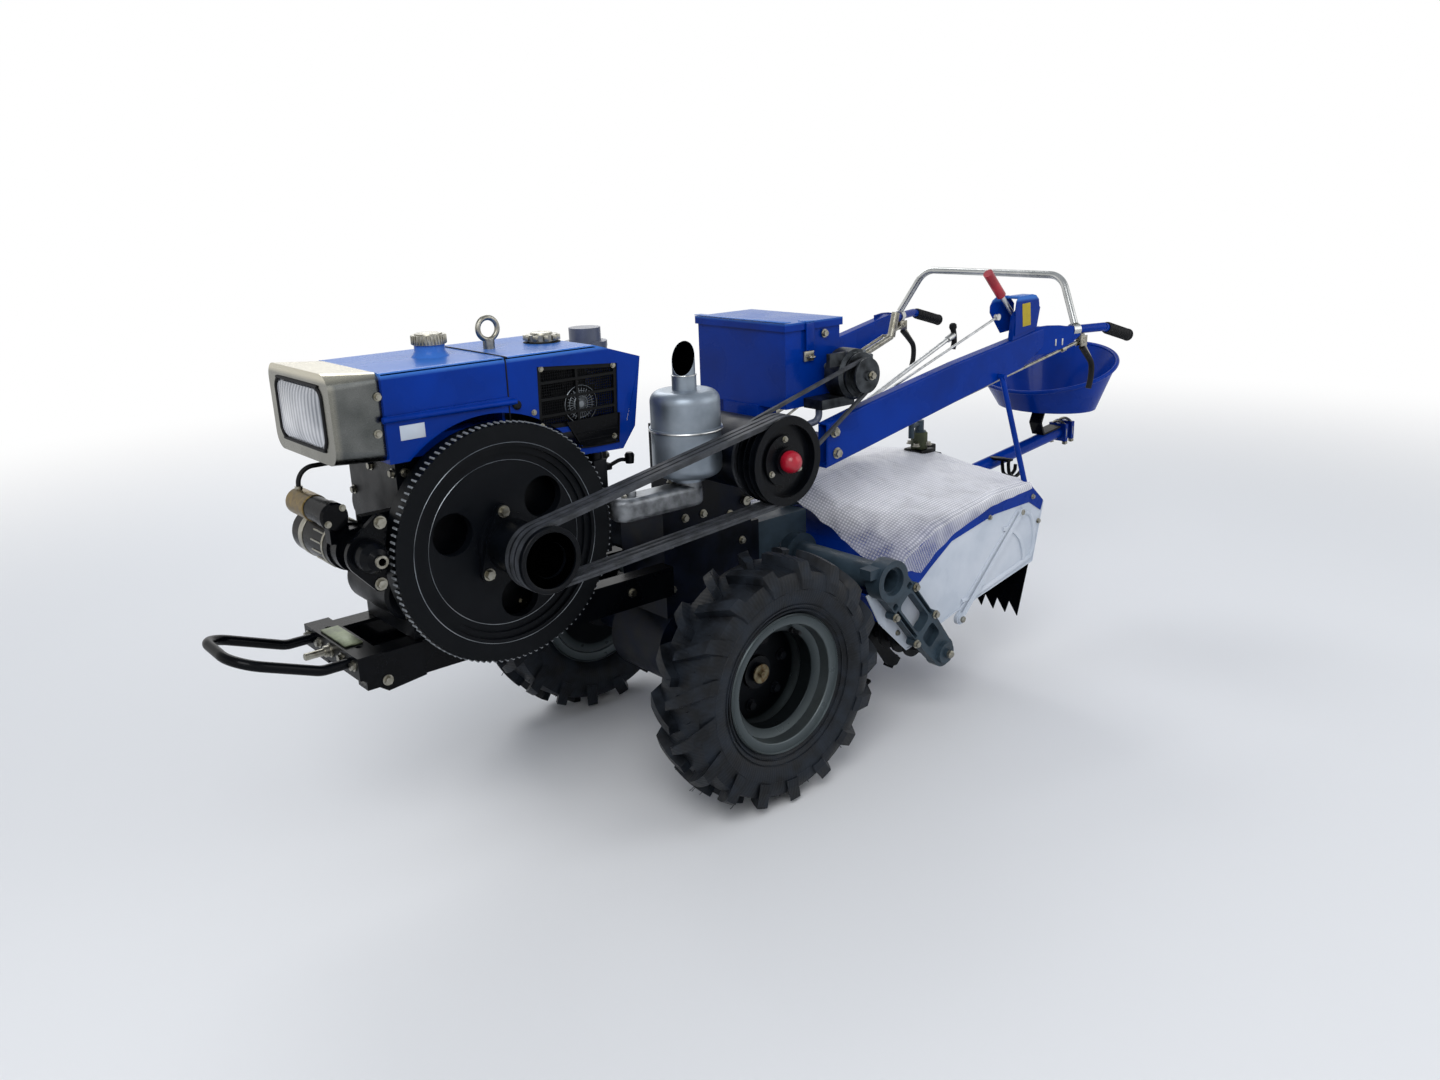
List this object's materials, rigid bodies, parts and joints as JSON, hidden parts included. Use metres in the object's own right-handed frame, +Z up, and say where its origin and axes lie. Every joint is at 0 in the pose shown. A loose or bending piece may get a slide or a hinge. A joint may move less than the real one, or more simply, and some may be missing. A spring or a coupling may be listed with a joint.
{
  "type": "walk-behind tractor",
  "caption": "Two-wheeled diesel walking tractor with belt-driven gearbox, long handlebars, battery box, rotary tiller with tined rotor, and a sprung seat.",
  "frame": {"origin": "on the floor under the middle of the machine's overall length, in its centre plane", "axes": "+X to the rear, towards the operator's seat; +Y to the machine's right; +Z up"},
  "size_m": [3.057, 0.96, 1.2157],
  "materials": {
    "alternator_casting": "satin",
    "belt_rubber": "matte",
    "black_casting": "matte",
    "black_paint": "satin",
    "black_plastic": "satin",
    "black_rubber": "matte",
    "blue_paint": "gloss",
    "bright_steel": "satin",
    "film": "gloss",
    "gearbox_casting": "matte",
    "green_casting": "satin",
    "grey_plastic": "satin",
    "lens": "gloss",
    "red_plastic": "gloss",
    "silver_casting": "satin",
    "silver_paint": "satin",
    "tine_steel": "satin",
    "tyre": "matte",
    "white_paint": "satin",
    "zinc": "satin"
  },
  "bodies": {
    "chassis": {"air_cleaner": "grey_plastic", "alternator": "alternator_casting", "alternator_conduit": "grey_plastic", "bar_bracket": "blue_paint", "battery_box": "blue_paint", "bearing_arm": "green_casting", "belts": "belt_rubber", "bumper_loop": "black_paint", "chain_case": "green_casting", "clutch_lever": "red_plastic", "cooling_fan": "black_plastic", "cylinder_head": "black_casting", "depth_screw": "green_casting", "engine_block": "black_casting", "exhaust_elbow": "silver_casting", "exhaust_outlet": "silver_paint", "filler_caps": "zinc", "frame_rails": "black_paint", "front_cross": "black_paint", "fuel_tank": "blue_paint", "gear_lever": "zinc", "gearbox": "gearbox_casting", "grille": "black_plastic", "grips": "black_rubber", "guard_hoop": "bright_steel", "handlebar_left": "blue_paint", "handlebar_right": "blue_paint", "hood_sides": "white_paint", "lamp_lens": "lens", "lamp_surround": "bright_steel", "lever_quadrant": "blue_paint", "lifting_eye": "zinc", "muffler": "silver_paint", "protective_film": "film", "radiator_cowl": "blue_paint", "rake_plate": "black_paint", "relay_box": "blue_paint", "seat_beam": "blue_paint", "seat_pan": "blue_paint", "seat_spring": "black_paint", "starter_lead": "black_rubber", "starter_motor": "black_paint", "stay_strut": "blue_paint", "steering_controls": "zinc", "tail_bracket": "green_casting", "tiller_case": "green_casting", "tiller_hood": "blue_paint"},
    "left_wheel": {"tyre_left": "tyre", "wheel_rim_left": "silver_paint", "wheel_hub_left": "black_casting"},
    "right_wheel": {"tyre_right": "tyre", "wheel_rim_right": "silver_paint", "wheel_hub_right": "black_casting"},
    "crank_rotor": {"flywheel": "black_casting", "crank_pulley": "black_casting"},
    "clutch_rotor": {"clutch_pulley": "black_casting", "clutch_cap": "red_plastic"},
    "tiller_rotor": {"tine_reel": "tine_steel"},
    "battery_box_lid": {"battery_lid": "blue_paint"}
  },
  "joints": [
    {"name": "left_wheel_spin", "type": "hinge", "parent": "chassis", "child": "left_wheel", "pos_m": [-0.3835, -0.3975, 0.318], "axis": [0, 1, 0], "continuous": true},
    {"name": "right_wheel_spin", "type": "hinge", "parent": "chassis", "child": "right_wheel", "pos_m": [-0.3835, 0.3975, 0.318], "axis": [0, 1, 0], "continuous": true},
    {"name": "flywheel_spin", "type": "hinge", "parent": "chassis", "child": "crank_rotor", "pos_m": [-0.9485, -0.28, 0.743], "axis": [0, 1, 0], "continuous": true},
    {"name": "clutch_pulley_spin", "type": "hinge", "parent": "chassis", "child": "clutch_rotor", "pos_m": [-0.2735, -0.33, 0.83], "axis": [0, 1, 0], "continuous": true},
    {"name": "tiller_spin", "type": "hinge", "parent": "chassis", "child": "tiller_rotor", "pos_m": [0.2315, 0, 0.214], "axis": [0, 1, 0], "continuous": true},
    {"name": "battery_lid_hinge", "type": "hinge", "parent": "chassis", "child": "battery_box_lid", "pos_m": [0.1065, 0, 1.104], "axis": [0, 1, 0], "range_deg": [0, 95]}
  ],
  "couplings": [
    {"joint": "clutch_pulley_spin", "follows": "flywheel_spin", "ratio": 0.65741}
  ]
}
